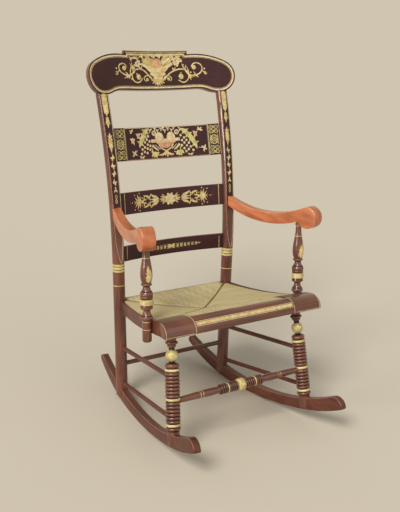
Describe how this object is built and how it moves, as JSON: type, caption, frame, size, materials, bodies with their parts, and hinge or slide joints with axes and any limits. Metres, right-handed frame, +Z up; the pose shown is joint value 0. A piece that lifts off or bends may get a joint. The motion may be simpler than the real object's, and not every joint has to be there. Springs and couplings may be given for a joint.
{
  "type": "rocking chair",
  "caption": "Painted rush-seat rocking chair with a bowed crest and three slats, turned front legs and arm supports, scrolled arms and curved rockers.",
  "frame": {"origin": "on the floor under the middle of the whole chair at rest, on the mirror plane between the two rockers", "axes": "+Z up, the sitter faces -Y, +X is the sitter's left"},
  "size_m": [0.6564, 0.8041, 1.0701],
  "materials": {
    "painted_wood": "satin",
    "mahogany": "satin",
    "rush": "matte",
    "bare_wood": "matte",
    "brads": "satin"
  },
  "bodies": {
    "root": {"arm_dowels": "bare_wood", "arm_left": "mahogany", "arm_right": "mahogany", "arm_support_left": "painted_wood", "arm_support_right": "painted_wood", "back_post_left": "painted_wood", "back_post_right": "painted_wood", "casing_brads": "brads", "corner_block_left": "painted_wood", "corner_block_right": "painted_wood", "crest_dowels": "bare_wood", "crest_rail": "painted_wood", "front_leg_left": "painted_wood", "front_leg_right": "painted_wood", "front_rail": "bare_wood", "front_roll": "painted_wood", "front_stretcher": "painted_wood", "lower_slat": "painted_wood", "middle_slat": "painted_wood", "rear_rail": "bare_wood", "rear_stretcher": "painted_wood", "rocker_left": "painted_wood", "rocker_pegs": "painted_wood", "rocker_right": "painted_wood", "rush_seat": "rush", "side_casing_left": "painted_wood", "side_casing_right": "painted_wood", "side_rail_left": "bare_wood", "side_rail_right": "bare_wood", "side_stretcher_lower_left": "painted_wood", "side_stretcher_lower_right": "painted_wood", "side_stretcher_upper_left": "painted_wood", "side_stretcher_upper_right": "painted_wood", "support_pegs": "painted_wood", "upper_slat": "painted_wood"}
  },
  "joints": []
}
